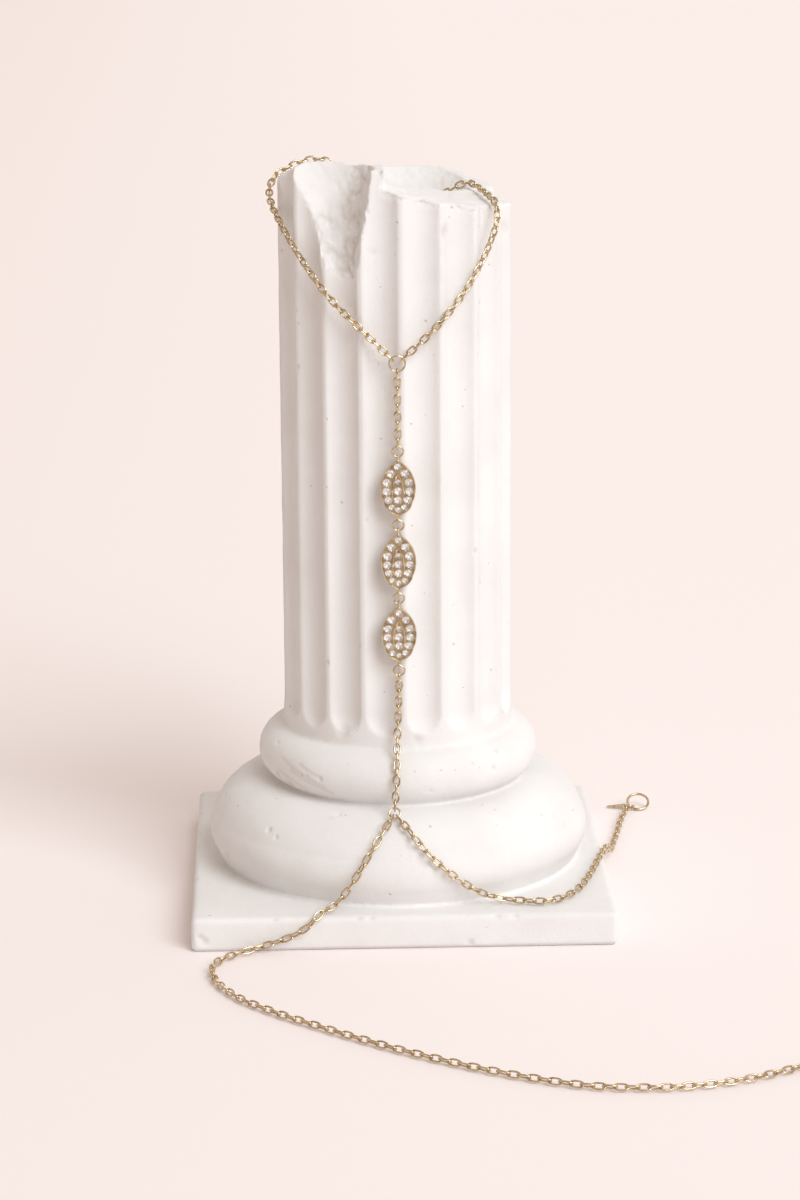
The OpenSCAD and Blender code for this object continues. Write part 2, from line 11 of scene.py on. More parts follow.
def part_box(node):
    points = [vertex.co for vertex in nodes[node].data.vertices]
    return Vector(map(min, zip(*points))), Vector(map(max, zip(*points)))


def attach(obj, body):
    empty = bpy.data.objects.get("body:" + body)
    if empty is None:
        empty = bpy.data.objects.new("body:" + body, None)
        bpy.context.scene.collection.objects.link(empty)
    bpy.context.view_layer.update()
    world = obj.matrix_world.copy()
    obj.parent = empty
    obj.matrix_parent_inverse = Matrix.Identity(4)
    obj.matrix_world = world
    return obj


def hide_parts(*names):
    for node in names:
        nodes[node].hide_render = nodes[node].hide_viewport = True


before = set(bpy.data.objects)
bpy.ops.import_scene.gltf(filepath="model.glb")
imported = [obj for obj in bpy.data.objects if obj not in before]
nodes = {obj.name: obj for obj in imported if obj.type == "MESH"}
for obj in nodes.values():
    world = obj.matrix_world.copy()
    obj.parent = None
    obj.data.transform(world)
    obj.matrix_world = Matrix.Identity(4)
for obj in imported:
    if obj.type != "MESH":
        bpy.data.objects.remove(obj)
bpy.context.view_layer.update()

scene = bpy.context.scene
MM = 0.001


# Camera: a long lens well back from the column, a little above its top and looking gently down,
# with the small turn and lean that the photograph has.
FOCAL_MM = 110.8
SENSOR_MM = 36.0
CAMERA_AT = Vector((-22.5, -796.7, 274.0)) * MM
CAMERA_ANGLES = (1.67, 14.64, -0.40)
turn, tip, lean = (math.radians(angle) for angle in CAMERA_ANGLES)
ahead = Vector((math.sin(turn) * math.cos(tip), math.cos(turn) * math.cos(tip), -math.sin(tip)))
level = Vector((math.cos(turn), -math.sin(turn), 0))
above = level.cross(ahead)
right = level * math.cos(lean) + above * math.sin(lean)
up = above * math.cos(lean) - level * math.sin(lean)
lens = bpy.data.cameras.new("camera")
lens.lens = FOCAL_MM
lens.sensor_fit = "VERTICAL"
lens.sensor_height = SENSOR_MM
lens.clip_start = 0.02
lens.clip_end = 50
camera = bpy.data.objects.new("camera", lens)
camera.matrix_world = Matrix.Translation(CAMERA_AT) @ Matrix((right, up, -ahead)).transposed().to_4x4()
scene.collection.objects.link(camera)
scene.camera = camera
scene.view_settings.view_transform = "Standard"


# Floor: a seamless sheet of pale peach paper that runs far past the picture's edges, with painted shade
# that deepens it towards the left. It lies loose, just under the plinth.
FLOOR_HALF = 6.0
FLOOR_DROP = 0.00002
# the paper's own colour, and the paper in painted shade on the left
PAPER = (0.956, 0.888, 0.880, 1)
PAPER_IN_PAINTED_SHADE = (0.885, 0.795, 0.765, 1)
PAPER_SHADE_SPAN = (-0.30, 0.06)


def new_material(name):
    """Material with its Principled shader, and its tree for the nodes that feed it."""
    made = bpy.data.materials.new(name)
    made.use_nodes = True
    return made, made.node_tree, made.node_tree.nodes["Principled BSDF"]


def add_node(tree, kind, **settings):
    """Node of a kind, with its properties and named inputs set."""
    made = tree.nodes.new(kind)
    for key, value in settings.items():
        socket = key.replace("_", " ")
        if socket in made.inputs:
            made.inputs[socket].default_value = value
        else:
            setattr(made, key, value)
    return made


def tone_ramp(tree, factor, stops):
    """Colour ramp over a factor, from (place, colour) stops."""
    ramp_node = tree.nodes.new("ShaderNodeValToRGB")
    elements = ramp_node.color_ramp.elements
    while len(elements) < len(stops):
        elements.new(0.5)
    for element, (place, colour) in zip(elements, stops):
        element.position = place
        element.color = colour
    tree.links.new(factor, ramp_node.inputs["Fac"])
    return ramp_node.outputs["Color"]


def grain_group():
    """Node group that every finish here shares: wide clouds, a fine grain and the grain as relief."""
    group = bpy.data.node_groups.new("surface_grain", "ShaderNodeTree")
    for name, start in (("Cloud Scale", 50.0), ("Grain Scale", 900.0), ("Grain Height", 0.00005)):
        socket = group.interface.new_socket(name, in_out="INPUT", socket_type="NodeSocketFloat")
        socket.default_value = start
    for name, kind in (("Clouds", "Float"), ("Grain", "Float"), ("Normal", "Vector")):
        group.interface.new_socket(name, in_out="OUTPUT", socket_type=f"NodeSocket{kind}")
    given = group.nodes.new("NodeGroupInput")
    result = group.nodes.new("NodeGroupOutput")
    place = group.nodes.new("ShaderNodeTexCoord")
    clouds = add_node(group, "ShaderNodeTexNoise", Detail=4.0)
    grain = add_node(group, "ShaderNodeTexNoise", Detail=3.0)
    relief = add_node(group, "ShaderNodeBump", Strength=1.0)
    for texture, scale in ((clouds, "Cloud Scale"), (grain, "Grain Scale")):
        group.links.new(place.outputs["Object"], texture.inputs["Vector"])
        group.links.new(given.outputs[scale], texture.inputs["Scale"])
    group.links.new(given.outputs["Grain Height"], relief.inputs["Distance"])
    group.links.new(grain.outputs["Fac"], relief.inputs["Height"])
    group.links.new(clouds.outputs["Fac"], result.inputs["Clouds"])
    group.links.new(grain.outputs["Fac"], result.inputs["Grain"])
    group.links.new(relief.outputs["Normal"], result.inputs["Normal"])
    return group


surface_grain = grain_group()


def add_grain(tree, shader, cloud, grain, height):
    """The shared grain in one material, at its own sizes in metres, with its relief on the shader."""
    placed = add_node(tree, "ShaderNodeGroup", node_tree=surface_grain)
    placed.inputs["Cloud Scale"].default_value = 1 / cloud
    placed.inputs["Grain Scale"].default_value = 1 / grain
    placed.inputs["Grain Height"].default_value = height
    tree.links.new(placed.outputs["Normal"], shader.inputs["Normal"])
    return placed


def vary(tree, factor, low, high, socket):
    """Feeds a socket with a value that goes from low to high as the factor goes from 0 to 1."""
    spread = add_node(tree, "ShaderNodeMapRange", To_Min=low, To_Max=high)
    tree.links.new(factor, spread.inputs["Value"])
    tree.links.new(spread.outputs["Result"], socket)


def paper_material():
    """Matt paper with a faint tooth, and painted shade that deepens it towards the left."""
    made, tree, shader = new_material("peach_paper")
    add_grain(tree, shader, cloud=0.3, grain=0.0011, height=0.00001)
    place = add_node(tree, "ShaderNodeTexCoord")
    parts = add_node(tree, "ShaderNodeSeparateXYZ")
    across = add_node(tree, "ShaderNodeMapRange", From_Min=PAPER_SHADE_SPAN[0], From_Max=PAPER_SHADE_SPAN[1])
    tree.links.new(place.outputs["Object"], parts.inputs["Vector"])
    tree.links.new(parts.outputs["X"], across.inputs["Value"])
    # painted shade: the paper's tone deepens from right to left
    tone = tone_ramp(tree, across.outputs["Result"], [(0.0, PAPER_IN_PAINTED_SHADE), (1.0, PAPER)])
    tree.links.new(tone, shader.inputs["Base Color"])
    shader.inputs["Roughness"].default_value = 0.9
    shader.inputs["Specular IOR Level"].default_value = 0.2
    return made


def linked(name, mesh):
    """Object of a mesh, linked to the scene."""
    made = bpy.data.objects.new(name, mesh)
    scene.collection.objects.link(made)
    return made


def mesh_object(name, points, faces, material):
    """Smooth object of points in metres and faces, in one material."""
    mesh = bpy.data.meshes.new(name)
    mesh.from_pydata([tuple(p) for p in points], [], [tuple(f) for f in faces])
    mesh.update()
    mesh.materials.append(material)
    mesh.polygons.foreach_set("use_smooth", [True] * len(mesh.polygons))
    return linked(name, mesh)


corners = [(-1, -1), (1, -1), (1, 1), (-1, 1)]
floor = mesh_object(
    "paper_floor",
    [(x * FLOOR_HALF, y * FLOOR_HALF, -FLOOR_DROP) for x, y in corners],
    [(0, 1, 2, 3)],
    paper_material(),
)


# Light: one broad soft key, high on the front right, and a warm room all round that is brighter above,
# behind and on the right than in front, so that the plaster stays pale and the metal has light and dark
# to mirror.
KEY_STRENGTH = 2.08
KEY_SOFT = math.radians(38)
KEY_FROM = Vector((0.45, -0.65, 0.65))
KEY_COLOUR = (0.90, 0.955, 1.0)
ROOM_TONES = [
    (0.0, (0.25, 0.20, 0.16, 1)), (0.35, (0.43, 0.355, 0.30, 1)),
    (0.6, (0.63, 0.555, 0.50, 1)), (1.0, (0.81, 0.745, 0.695, 1)),
]
ROOM_LEAN = Vector((0.25, 0.30, 0.26))
key = bpy.data.lights.new("soft_key", "SUN")
key.energy = KEY_STRENGTH
key.angle = KEY_SOFT
key.color = KEY_COLOUR
key_object = bpy.data.objects.new("soft_key", key)
key_object.rotation_euler = KEY_FROM.to_track_quat("Z", "Y").to_euler()
scene.collection.objects.link(key_object)
room = bpy.data.worlds.new("studio_room")
room.use_nodes = True
scene.world = room
room_tree = room.node_tree
sky_way = add_node(room_tree, "ShaderNodeTexCoord")
sky_lean = add_node(room_tree, "ShaderNodeVectorMath", operation="DOT_PRODUCT")
sky_lean.inputs[1].default_value = ROOM_LEAN
sky_share = add_node(room_tree, "ShaderNodeMapRange", From_Min=-0.5, From_Max=0.5)
room_tree.links.new(sky_way.outputs["Generated"], sky_lean.inputs[0])
room_tree.links.new(sky_lean.outputs["Value"], sky_share.inputs["Value"])
room_tone = tone_ramp(room_tree, sky_share.outputs["Result"], ROOM_TONES)
room_tree.links.new(room_tone, room_tree.nodes["Background"].inputs["Color"])


# Column stand: one cast of white plaster, a square plinth, two round mouldings and a fluted shaft whose
# top is broken off. The cast keeps its soft arrises, air pits and knocks, and the break is hackly and
# grainy where the plaster tore.
PLINTH_HALF = 46.0
PLINTH_TOP = 7.5
BASE_R = 42.5
BASE_TOP = 26.5
COLLAR_R = 31.2
COLLAR_TOP = 38.5
SHAFT_R = 25.5
SHAFT_TOP = 165.2
CHIP_H = 27.0
# the mesh that is worn
WELD = 0.005 * MM
CAST_VOXEL = 0.45 * MM
CAST_SOFTEN = 3
CAST_TRIANGLES = 190000
# soft unevenness all over, with a foot that stays flat and an eased lower edge
NOISE_FALL = 0.8
NOISE_STEP = 2.0
NOISE_LAYERS = 3
SWELL_SIZE = 9.0
SWELL_DEPTH = 0.07
FOOT_H = 0.4
EDGE_IN = 0.9
EDGE_HEIGHTS = (0.8, 0.1)
EDGE_SHRINK = 0.010
EDGE_LIFT = 0.38
# the break: hackles and grain where it is torn at the front, soft swells in the hollow behind
BREAK_LEAN = 0.07
BREAK_LIFT = 0.10
BREAK_ROUGH = 0.25
CHIP_FACING = (-0.2, -0.5)
CHIP_DEPTH = (SHAFT_R * 0.4, SHAFT_R * 0.55)
SMOOTH_ACROSS = (-9.0, -13.0)
SMOOTH_HEIGHTS = (SHAFT_TOP - 13, SHAFT_TOP - 7)
HACKLE_SIZE = 3.1
HACKLE_DEPTH = 0.42
SMALL_HACKLE_SIZE = 1.25
SMALL_HACKLE_SHARE = 0.45
TEAR_GRAIN_SIZE = 1.3
TEAR_GRAIN_DEPTH = 0.14
HOLLOW_SWELL_SIZE = 6.0
HOLLOW_SWELL_DEPTH = 0.22
# painted shade between the torn hackles of the chip
TEAR_SHADE = 0.55
# holes, knocks and scrapes, and the painted shade in them
KNOCK_SHADE = 0.4
HOLE_COUNT = 120
HOLE_R = (0.5, 0.95)
HOLE_DEEP = 0.45
EDGE_KNOCK_COUNT = 44
EDGE_KNOCK_R = (0.7, 1.5)
EDGE_KNOCK_DEEP = 0.32
OUTSIDE_HEIGHTS = [PLINTH_TOP, 18, BASE_TOP, 27, 32, COLLAR_TOP, 39, 200]
OUTSIDE_R = [BASE_R - 2, BASE_R - 1, 36, 29, COLLAR_R, 29, SHAFT_R, SHAFT_R]
KNOCKS = [
    # degrees from the front, height, radius of the place, size, depth
    (-62, 30.0, 30.8, 1.4, 0.45), (-55, 28.4, 29.6, 1.7, 0.5), (-38, 27.4, 30.0, 1.2, 0.4),
    (-24, 26.4, 34.0, 1.2, 0.4), (-27, 25.8, 35.4, 0.9, 0.4), (-22, 25.6, 36.0, 0.8, 0.35),
    (-47, 21.5, 40.0, 1.0, 0.45), (-43, 20.6, 40.6, 0.8, 0.4), (-66, 12.5, 42.0, 1.3, 0.45),
    (18, 27.6, 29.6, 1.0, 0.35), (41, 33.6, 31.0, 0.9, 0.3), (64, 25.0, 38.0, 1.2, 0.4),
    (8, 41.0, 25.0, 1.8, 0.4), (-30, 42.0, 25.0, 2.2, 0.45), (120, 29.0, 30.5, 2.8, 0.5),
    (170, 20.0, 41.5, 2.6, 0.5), (-135, 34.0, 31.0, 2.4, 0.45), (-100, 24.0, 39.0, 3.0, 0.5),
    (-12, 148.0, 25.0, 1.7, 0.4), (24, 152.0, 25.2, 2.4, 0.4), (75, 150.0, 25.2, 2.6, 0.5),
    (-80, 158.0, 25.2, 2.8, 0.5), (150, 152.0, 25.2, 3.2, 0.7), (-160, 155.0, 25.2, 2.6, 0.6),
]
SCRAPES = [
    # on the small moulding: from angle and height, to angle and height, size, depth
    ((-58, 34.6), (-33, 30.4), 0.75, 0.30), ((-52, 32.6), (-30, 29.0), 0.8, 0.34),
    ((-60, 31.6), (-44, 28.8), 0.7, 0.26), ((-46, 34.4), (-36, 32.6), 0.6, 0.22),
]
SCRAPE_STEPS = 40
SCRAPE_SHARE = 0.22
SCRAPE_OUT = 0.2
COLLAR_MIDDLE = 32.5
COLLAR_ROUND = 6.0
# the plaster's tones, its small air pits, and the painted shade in the pits and worn hollows
WHITE = (0.84, 0.828, 0.82, 1)
CHALK = (0.80, 0.782, 0.77, 1)
PIT_SHADE = (0.60, 0.545, 0.50, 1)
PIT_APART = 0.0030
PIT_WIDEST = 0.17
PIT_DEPTH = 0.00022
PIT_DARKNESS = 0.45


def applied(thing):
    """The object's mesh with its modifiers applied."""
    graph = bpy.context.evaluated_depsgraph_get()
    graph.update()
    mesh = bpy.data.meshes.new_from_object(thing.evaluated_get(graph))
    thing.modifiers.clear()
    thing.data = mesh
    return mesh


def read_points(mesh):
    """The mesh's points, one to a row."""
    points = np.zeros(len(mesh.vertices) * 3)
    mesh.vertices.foreach_get("co", points)
    return points.reshape(-1, 3)


def read_normals(mesh):
    """The way out of the surface at each point, one to a row."""
    normals = np.zeros(len(mesh.vertices) * 3)
    mesh.vertex_normals.foreach_get("vector", normals)
    return normals.reshape(-1, 3)


def cast_copy():
    """The stand's own form, welded, remeshed finely and softened so that it can be worn."""
    mesh = nodes["column_stand"].data.copy()
    build = bmesh.new()
    build.from_mesh(mesh)
    bmesh.ops.remove_doubles(build, verts=build.verts, dist=WELD)
    build.to_mesh(mesh)
    build.free()
    made = linked("plaster_column", mesh)
    remesh = made.modifiers.new("fine", "REMESH")
    remesh.mode = "VOXEL"
    remesh.voxel_size = CAST_VOXEL
    soften = made.modifiers.new("soften", "SMOOTH")
    soften.factor = 0.5
    soften.iterations = CAST_SOFTEN
    applied(made)
    return made


def ramp(a, b, v):
    """Share of the way from a to b, kept between 0 and 1."""
    return np.clip((v - a) / (b - a), 0.0, 1.0)


def soft_noise(p, size, seed=0):
    """Smooth noise about zero at a point in millimetres, with swells of a size, different for each seed."""
    place = Vector((p[0] + seed * 31.7, p[1] - seed * 17.3, p[2]))
    return noise.fractal(place / size, NOISE_FALL, NOISE_STEP, NOISE_LAYERS)


def torn(p, size):
    """How far a point of torn plaster lies below the crests between its hackles, from 0 to 1."""
    q = Vector((p[0] * 1.25 + p[2] * 0.35, p[1], p[2] * 0.6)) / size
    return 1 - min(1.0, 2.2 * abs(noise.noise(q)) + 0.8 * abs(noise.noise(q * 2.3)))


def knock_places(chance):
    """Air holes, knocks and scrapes: a place in millimetres, the radius and the depth of each."""
    places = []
    for _ in range(HOLE_COUNT):
        angle = chance.uniform(0, 2 * math.pi)
        height = chance.choice(
            (chance.uniform(PLINTH_TOP, COLLAR_TOP), chance.uniform(COLLAR_TOP, SHAFT_TOP)))
        reach = np.interp(height, OUTSIDE_HEIGHTS, OUTSIDE_R)
        radius = chance.uniform(*HOLE_R)
        at = (reach * math.cos(angle), reach * math.sin(angle), height)
        places.append((at, radius, HOLE_DEEP * radius))
    for _ in range(EDGE_KNOCK_COUNT):
        along = chance.uniform(-PLINTH_HALF, PLINTH_HALF)
        side = chance.choice(((1, 0), (-1, 0), (0, 1), (0, -1)))
        x, y = (PLINTH_HALF * side[0] or along), (PLINTH_HALF * side[1] or along)
        height = chance.choice((PLINTH_TOP, PLINTH_TOP, chance.uniform(1, PLINTH_TOP)))
        radius = chance.uniform(*EDGE_KNOCK_R)
        places.append(((x, y, height), radius, EDGE_KNOCK_DEEP * radius))
    for angle, height, reach, radius, depth in KNOCKS:
        a = math.radians(angle)
        places.append(((reach * math.sin(a), -reach * math.cos(a), height), radius, depth))
    for start, finish, radius, depth in SCRAPES:
        for share in np.linspace(0, 1, SCRAPE_STEPS):
            a = math.radians(start[0] + (finish[0] - start[0]) * share)
            height = start[1] + (finish[1] - start[1]) * share
            bulge = math.sqrt(COLLAR_ROUND ** 2 - (height - COLLAR_MIDDLE) ** 2)
            reach = COLLAR_R - COLLAR_ROUND + bulge + SCRAPE_OUT
            at = (reach * math.sin(a), -reach * math.cos(a), height)
            places.append((at, radius, depth * SCRAPE_SHARE))
    return places


def wear_cast(thing):
    """Moves the cast's points: a hackly break at the top, soft unevenness, pits and knocks elsewhere."""
    mesh = thing.data
    points = read_points(mesh) / MM
    normals = read_normals(mesh)
    x, y, z = points.T
    swell = np.array([soft_noise(p, SWELL_SIZE, 1) for p in points])
    move = SWELL_DEPTH * swell
    shade = np.zeros(len(points))
    broken = np.flatnonzero((z > SHAFT_TOP - CHIP_H) & (normals[:, 2] > BREAK_LEAN))
    in_chip = ramp(*CHIP_FACING, normals[broken, 1]) * ramp(*CHIP_DEPTH, -y[broken])
    smooth_side = ramp(*SMOOTH_ACROSS, x[broken]) * ramp(*SMOOTH_HEIGHTS, z[broken])
    rough = BREAK_ROUGH + (1 - BREAK_ROUGH) * in_chip * (1 - smooth_side)
    large = np.array([torn(points[i], HACKLE_SIZE) for i in broken])
    small = np.array([torn(points[i], SMALL_HACKLE_SIZE) for i in broken])
    facets = large + SMALL_HACKLE_SHARE * small
    grain = np.array([soft_noise(points[i], TEAR_GRAIN_SIZE, 2) for i in broken])
    roll = np.array([soft_noise(points[i], HOLLOW_SWELL_SIZE, 3) for i in broken])
    tear = rough * (HACKLE_DEPTH * facets + TEAR_GRAIN_DEPTH * grain)
    move[broken] += BREAK_LIFT - tear + HOLLOW_SWELL_DEPTH * (1 - in_chip) * roll
    # painted shade between the torn hackles of the chip
    shade[broken] = TEAR_SHADE * rough * facets * in_chip
    near = kdtree.KDTree(len(points))
    for i, p in enumerate(points):
        near.insert(p, i)
    near.balance()
    for at, radius, depth in knock_places(random.Random(7)):
        for _, i, away in near.find_range(at, radius):
            share = (1 - (away / radius) ** 2) ** 2
            move[i] -= depth * share
            # painted shade in each hole, knock and scrape, deepest in its middle
            shade[i] = max(shade[i], share * KNOCK_SHADE)
    move[z < FOOT_H] = 0
    points += normals * move[:, None]
    outermost = np.abs(points[:, :2]).max(1)
    rim = ramp(PLINTH_HALF - EDGE_IN, PLINTH_HALF, outermost) * ramp(*EDGE_HEIGHTS, points[:, 2])
    points[:, :2] *= (1 - EDGE_SHRINK * rim)[:, None]
    points[:, 2] += EDGE_LIFT * rim
    points[:, 2] = points[:, 2].clip(0)
    mesh.vertices.foreach_set("co", (points * MM).ravel())
    # the painted shade is kept on the points, for the plaster's colour to darken by
    mesh.attributes.new("painted_hollow_shade", "FLOAT", "POINT").data.foreach_set("value", shade)
    mesh.update()


def thin_out(thing, triangles):
    """Fewer triangles on the flat stretches."""
    count = sum(len(p.vertices) - 2 for p in thing.data.polygons)
    thin = thing.modifiers.new("thin", "DECIMATE")
    thin.ratio = min(1.0, triangles / count)
    mesh = applied(thing)
    mesh.polygons.foreach_set("use_smooth", [True] * len(mesh.polygons))


def air_pits(tree):
    """Mask of small round air pits, each as wide as its own cell's chance makes it."""
    place = add_node(tree, "ShaderNodeTexCoord")
    cells = add_node(tree, "ShaderNodeTexVoronoi", Scale=1 / PIT_APART)
    chance = add_node(tree, "ShaderNodeSeparateColor")
    few = add_node(tree, "ShaderNodeMath", operation="POWER")
    few.inputs[1].default_value = 2.0
    reach = add_node(tree, "ShaderNodeMath", operation="MULTIPLY")
    reach.inputs[1].default_value = PIT_WIDEST
    mask = add_node(tree, "ShaderNodeMapRange", interpolation_type="SMOOTHSTEP", To_Min=1.0, To_Max=0.0)
    for output, socket in (
        (place.outputs["Object"], cells.inputs["Vector"]),
        (cells.outputs["Color"], chance.inputs["Color"]),
        (chance.outputs["Red"], few.inputs[0]),
        (few.outputs["Value"], reach.inputs[0]),
        (reach.outputs["Value"], mask.inputs["From Max"]),
        (cells.outputs["Distance"], mask.inputs["Value"]),
    ):
        tree.links.new(output, socket)
    return mask.outputs["Result"]


def plaster_material():
    """Matt plaster in chalky clouds, with painted shade in its pits and in the hollows that the wear has
    made.
    """
    made, tree, shader = new_material("cast_plaster")
    grain = add_grain(tree, shader, cloud=0.016, grain=0.00045, height=0.00006)
    pits = air_pits(tree)
    relief = add_node(tree, "ShaderNodeBump", invert=True, Strength=1.0, Distance=PIT_DEPTH)
    tree.links.new(pits, relief.inputs["Height"])
    tree.links.new(grain.outputs["Normal"], relief.inputs["Normal"])
    tree.links.new(relief.outputs["Normal"], shader.inputs["Normal"])
    chalk = tone_ramp(tree, grain.outputs["Clouds"], [(0.35, CHALK), (0.62, WHITE)])
    painted_hollow_shade = add_node(tree, "ShaderNodeAttribute", attribute_name="painted_hollow_shade")
    # painted shade: the plaster darkens in its air pits and in the worn hollows
    painted_shade_mix = add_node(tree, "ShaderNodeMix", data_type="RGBA")
    factor, unshaded, shaded = (socket for socket in painted_shade_mix.inputs if socket.enabled)
    shaded_pits = add_node(tree, "ShaderNodeMath", operation="MULTIPLY_ADD")
    shaded_pits.inputs[1].default_value = PIT_DARKNESS
    tree.links.new(pits, shaded_pits.inputs[0])
    tree.links.new(painted_hollow_shade.outputs["Fac"], shaded_pits.inputs[2])
    tree.links.new(shaded_pits.outputs["Value"], factor)
    tree.links.new(chalk, unshaded)
    shaded.default_value = PIT_SHADE
    mixed = next(socket for socket in painted_shade_mix.outputs if socket.enabled)
    tree.links.new(mixed, shader.inputs["Base Color"])
    vary(tree, grain.outputs["Grain"], 0.86, 0.97, shader.inputs["Roughness"])
    shader.inputs["Specular IOR Level"].default_value = 0.25
    return made


cast = cast_copy()
wear_cast(cast)
thin_out(cast, CAST_TRIANGLES)
cast.data.materials.clear()
cast.data.materials.append(plaster_material())
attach(cast, "root")
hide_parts("column_stand")


# Wrist loop and hanging drops: closed oval cable links of drawn brass wire, soldered and plated in pale
# champagne gold, each a quarter turn from the next. The rings, tag and clasp keep their solids' shapes.
GOLD = (0.72, 0.585, 0.395, 1)
GOLD_DEEP = (0.46, 0.345, 0.20, 1)


def gold_material(name, rub_size, rub_depth, gloss, tones=(GOLD_DEEP, GOLD)):
    """Plated gold, a little deeper in tone in clouds, with fine rubbed marks of a size and depth."""
    made, tree, shader = new_material(name)
    grain = add_grain(tree, shader, cloud=0.0012, grain=rub_size, height=rub_depth)
    tone = tone_ramp(tree, grain.outputs["Clouds"], [(0.3, tones[0]), (0.55, tones[1])])
    tree.links.new(tone, shader.inputs["Base Color"])
    vary(tree, grain.outputs["Grain"], gloss[0], gloss[1], shader.inputs["Roughness"])
    shader.inputs["Metallic"].default_value = 1.0
    return made


gold = gold_material("champagne_gold_wire", rub_size=0.0004, rub_depth=0.000006, gloss=(0.12, 0.30))


def finish_node(name, material):
    """A carried-over solid keeps its shape and takes this material."""
    mesh = nodes[name].data
    mesh.materials.clear()
    mesh.materials.append(material)


def link_shape(length, width, wire, sides=12, steps=44, fullness=2.5):
    """Points and faces of one closed oval link, its length along X and its width along Y."""
    a, b = (length - wire) / 2, (width - wire) / 2
    points, faces = [], []
    for i in range(steps):
        turned = 2 * math.pi * i / steps
        c, s = math.cos(turned), math.sin(turned)
        x = a * math.copysign(abs(c) ** (2 / fullness), c)
        y = b * math.copysign(abs(s) ** (2 / fullness), s)
        out = Vector((math.copysign(abs(x / a) ** (fullness - 1), x) / a,
                      math.copysign(abs(y / b) ** (fullness - 1), y) / b)).normalized()
        for k in range(sides):
            v = 2 * math.pi * k / sides
            reach = wire / 2 * math.cos(v)
            points.append((x + out.x * reach, y + out.y * reach, wire / 2 * math.sin(v)))
            j, n = (i + 1) % steps, (k + 1) % sides
            faces.append((i * sides + k, j * sides + k, j * sides + n, i * sides + n))
    return np.array(points), np.array(faces)


def solids_of(mesh):
    """Welded points of a mesh in millimetres, its triangles, and the solid that each triangle is in."""
    points = read_points(mesh) / MM
    mesh.calc_loop_triangles()
    corners_of = np.zeros(len(mesh.loop_triangles) * 3, int)
    mesh.loop_triangles.foreach_get("vertices", corners_of)
    welded, same = np.unique(points.round(4), axis=0, return_inverse=True)
    triangles = same.reshape(-1)[corners_of].reshape(-1, 3)
    solid = np.arange(len(welded))
    while True:
        lowest = solid[triangles].min(1)
        for side in range(3):
            np.minimum.at(solid, triangles[:, side], lowest)
        solid = solid[solid]
        if (solid[triangles] == solid[triangles[:, :1]]).all():
            return welded, triangles, solid[triangles[:, 0]]


def oval_links(node, name, material):
    """A chain's links rebuilt with bowed sides, each where its solid lies and as long, wide and thick."""
    points, triangles, solid = solids_of(nodes[node].data)
    all_points, all_faces = [], []
    for k in np.unique(solid):
        a, b, c = (points[triangles[solid == k][:, i]] for i in range(3))
        area = np.linalg.norm(np.cross(b - a, c - a), axis=1)
        centres = (a + b + c) / 3
        middle = (centres * area[:, None]).sum(0) / area.sum()
        spread = (centres - middle) * np.sqrt(area)[:, None]
        axes = np.linalg.eigh(spread.T @ spread)[1][:, ::-1]
        axes[:, 2] = np.cross(axes[:, 0], axes[:, 1])
        along = (a - middle) @ axes
        length, width, wire = along.max(0) - along.min(0)
        shape, quads = link_shape(length, width, wire)
        all_faces.append(quads + len(all_points) * len(shape))
        all_points.append(((along.max(0) + along.min(0)) / 2 + shape) @ axes.T + middle)
    made = mesh_object(name, np.concatenate(all_points) * MM, np.concatenate(all_faces).tolist(), material)
    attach(made, "root")
    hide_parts(node)


for name in ("wrist_chain_left", "wrist_chain_right", "upper_drop_chain", "lower_drop_chain",
             "right_chain_upper", "right_chain_lower"):
    oval_links(name, f"{name}_links", gold)
for name in ("top_ring", "fork_ring", "joining_ring", "end_ring", "end_tag", "clasp_ring", "clasp"):
    finish_node(name, gold)


# Jump rings above, between and below the plaques: the same wire, drawn to a point at the top by the pull
# of the links that they hold.
RING_POINT = 1.5


def pear_ring(node, name, material, sides=12, steps=48):
    """A jump ring as wide, high and thick as its solid, round below and pointed above."""
    low_corner, high_corner = (Vector(c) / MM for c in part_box(node))
    middle = (low_corner + high_corner) / 2
    wire = high_corner.y - low_corner.y
    reach = (high_corner.x - low_corner.x - wire) / 2
    way = []
    for i in range(steps):
        turned = 2 * math.pi * i / steps
        c, s = math.cos(turned), math.sin(turned)
        across = math.copysign(abs(c) ** RING_POINT, c) if s > 0 else c
        way.append(Vector((reach * across, reach * s)))
    points, faces = [], []
    for i, at in enumerate(way):
        run = (way[(i + 1) % steps] - way[i - 1]).normalized()
        for k in range(sides):
            v = 2 * math.pi * k / sides
            out, back = wire / 2 * math.cos(v), wire / 2 * math.sin(v)
            points.append((middle + Vector((at.x + run.y * out, back, at.y - run.x * out))) * MM)
            j, n = (i + 1) % steps, (k + 1) % sides
            faces.append((i * sides + k, i * sides + n, j * sides + n, j * sides + k))
    made = mesh_object(name, points, faces, material)
    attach(made, "root")
    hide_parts(node)


for k in (1, 2, 3, 4):
    pear_ring(f"jump_ring_{k}", f"pear_ring_{k}", gold)


# Long free strand: the same cable links, lying on the floor in front from the fork's ring to the clasp.
# Its route is the one that its plain tube follows.
WIRE_D = 0.42
LINK_L = 3.2
LINK_W = 1.75
LINK_GAP = 0.15
LINK_PITCH = LINK_L - 2 * WIRE_D - LINK_GAP
FLOOR_ROLL = 45.0
EASE_LINKS = 5
JUMP_RING_R = 1.19
RING_WIRE_D = 0.42
RING_SLACK = 0.04
RING_JOINT_IN = ((WIRE_D + RING_WIRE_D) / 2 + LINK_GAP + RING_SLACK) / 2
FORK_AT = (-1.7, -34.9, 27.2)
FORK_TILT = 37.0
FORK_ANGLE = 235.0
CLASP_RING_AT = (96.2, -105.2, 1.0)
CLASP_RING_TILT = 90.0
CLASP_TURN = 36.0
LIES_FLAT_TO = PLINTH_TOP + 3
LEANS_OUT = (PLINTH_TOP + 2, PLINTH_TOP + 10)
